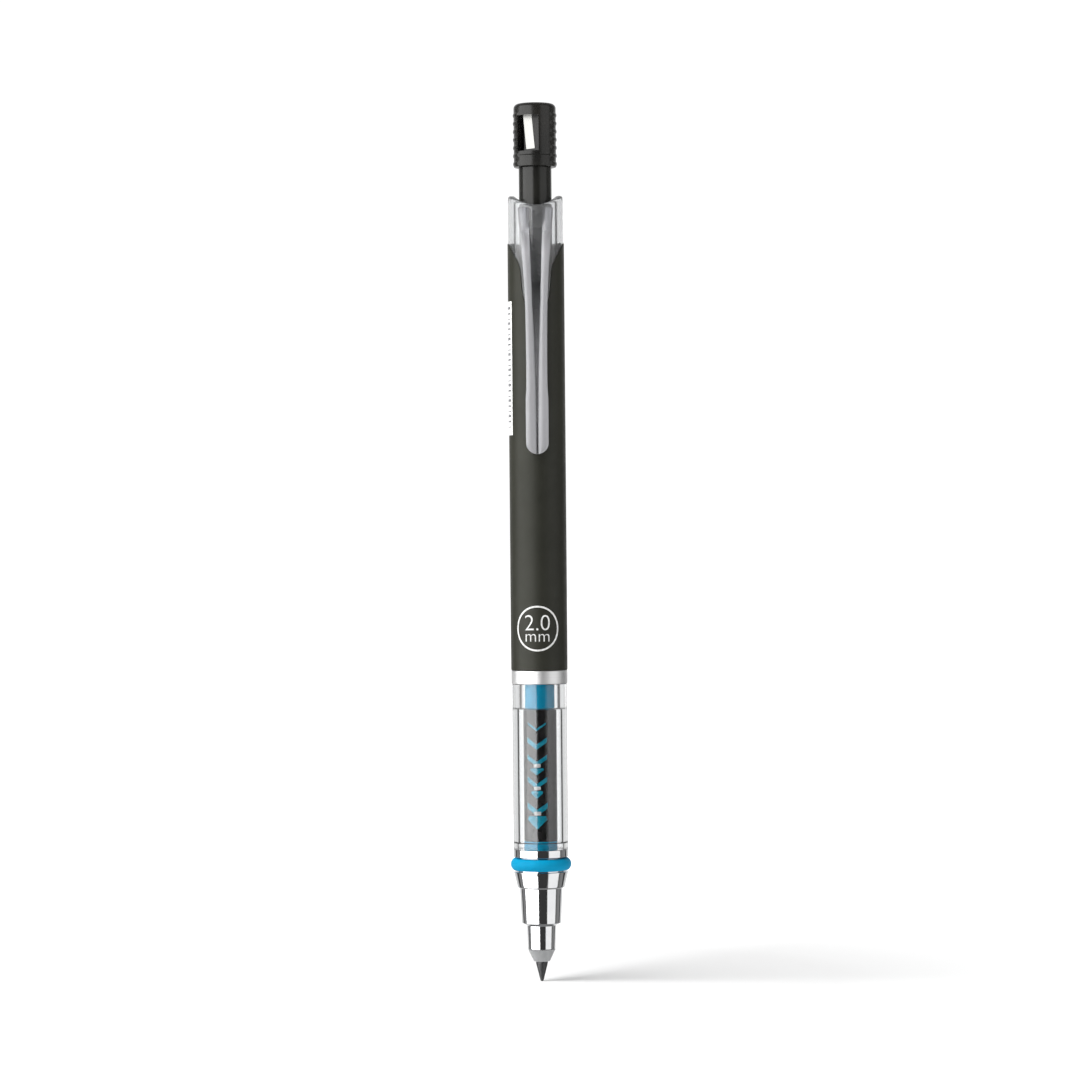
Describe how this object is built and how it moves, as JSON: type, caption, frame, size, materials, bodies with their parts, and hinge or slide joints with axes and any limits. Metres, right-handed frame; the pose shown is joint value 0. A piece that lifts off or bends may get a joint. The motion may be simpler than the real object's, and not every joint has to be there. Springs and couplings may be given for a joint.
{
  "type": "mechanical pencil",
  "caption": "Clutch pencil for 2.0 mm lead with a stepped metal nose, clear grip, black barrel, clear pocket clip and a pull-off button that holds a lead pointer.",
  "frame": {"origin": "the blunt end of the lead point, on the pencil's axis", "axes": "+Z along the pencil towards the push button; the pocket clip is on the -Y side; +X to the right when the clip faces the viewer"},
  "size_m": [0.0102, 0.012, 0.1474],
  "materials": {
    "lead": "fired graphite, dull",
    "tip_sleeve": "matt",
    "nose_cone": "polished plating",
    "rubber_ring": "satin",
    "lead_retainer": "dull",
    "chuck_jaw_1": "turned",
    "chuck_jaw_2": "turned",
    "chuck_jaw_3": "turned",
    "chuck_sleeve": "turned",
    "clutch_ring": "turned",
    "return_spring": "bright drawn wire",
    "lead_tube": "moulded",
    "thread_bushing": "moulded, glossy",
    "inner_barrel": "polished black",
    "coupling": "moulded, glossy",
    "grip_tube": "clear, polished",
    "metal_band": "satin, turned",
    "barrel_insert": "moulded",
    "barrel": "satin black",
    "rear_sleeve": "clear, polished",
    "pocket_clip": "clear, polished",
    "push_stem": "moulded, semi-gloss black",
    "push_cap": "semi-matt black, ribbed",
    "pointer_blade": "ground and polished"
  },
  "bodies": {
    "barrel": {"barrel": "barrel", "barrel_insert": "barrel_insert", "rear_sleeve": "rear_sleeve", "metal_band": "metal_band", "grip_tube": "grip_tube", "coupling": "coupling", "inner_barrel": "inner_barrel", "thread_bushing": "thread_bushing"},
    "clip": {"pocket_clip": "pocket_clip"},
    "push_rod": {"push_stem": "push_stem", "lead_tube": "lead_tube", "chuck_sleeve": "chuck_sleeve", "return_spring": "return_spring"},
    "jaw_1": {"chuck_jaw_1": "chuck_jaw_1"},
    "jaw_2": {"chuck_jaw_2": "chuck_jaw_2"},
    "jaw_3": {"chuck_jaw_3": "chuck_jaw_3"},
    "cap": {"push_cap": "push_cap", "pointer_blade": "pointer_blade"},
    "clutch_ring": {"clutch_ring": "clutch_ring"},
    "lead": {"lead": "lead"},
    "rubber_ring": {"rubber_ring": "rubber_ring"},
    "nose": {"nose_cone": "nose_cone", "tip_sleeve": "tip_sleeve", "lead_retainer": "lead_retainer"}
  },
  "joints": [
    {"name": "push_button", "type": "slide", "parent": "barrel", "child": "push_rod", "axis": [0, 0, -1], "range_m": [0, 0.004], "stiffness_N_per_m": 700, "springref_m": -0.003, "deforming": ["return_spring"]},
    {"name": "clutch_ring_travel", "type": "slide", "parent": "barrel", "child": "clutch_ring", "axis": [0, 0, -1], "range_m": [0, 0.0015]},
    {"name": "lead_feed", "type": "slide", "parent": "clutch_ring", "child": "lead", "axis": [0, 0, -1], "range_m": [-0.0034, 0.065]},
    {"name": "nose_thread_travel", "type": "slide", "parent": "barrel", "child": "rubber_ring", "axis": [0, 0, -1], "range_m": [0, 0.0042]},
    {"name": "nose_turn", "type": "hinge", "parent": "rubber_ring", "child": "nose", "pos_m": [0, 0, 0.0137], "axis": [0, 0, -1], "range_deg": [0, 2160]},
    {"name": "cap_pull", "type": "slide", "parent": "push_rod", "child": "cap", "axis": [0, 0, 1], "range_m": [0, 0.015]},
    {"name": "clip_flex", "type": "hinge", "parent": "barrel", "child": "clip", "pos_m": [0, -0.0045, 0.1296], "axis": [-1, 0, 0], "range_deg": [0, 4], "stiffness_Nm_per_rad": 1.5},
    {"name": "jaw_1_opening", "type": "hinge", "parent": "push_rod", "child": "jaw_1", "pos_m": [0.0012, 0, 0.024], "axis": [0, -1, 0], "range_deg": [0, 2.5]},
    {"name": "jaw_2_opening", "type": "hinge", "parent": "push_rod", "child": "jaw_2", "pos_m": [-0.0006, 0.00104, 0.024], "axis": [0.866, 0.5, 0], "range_deg": [0, 2.5]},
    {"name": "jaw_3_opening", "type": "hinge", "parent": "push_rod", "child": "jaw_3", "pos_m": [-0.0006, -0.00104, 0.024], "axis": [-0.866, 0.5, 0], "range_deg": [0, 2.5]}
  ],
  "couplings": [
    {"joint": "clutch_ring_travel", "follows": "push_button", "ratio": 0.375},
    {"joint": "nose_turn", "follows": "nose_thread_travel", "rad_per_m": 8976},
    {"joint": "jaw_1_opening", "follows": "push_button", "rad_per_m": 10.9},
    {"joint": "jaw_2_opening", "follows": "push_button", "rad_per_m": 10.9},
    {"joint": "jaw_3_opening", "follows": "push_button", "rad_per_m": 10.9}
  ]
}
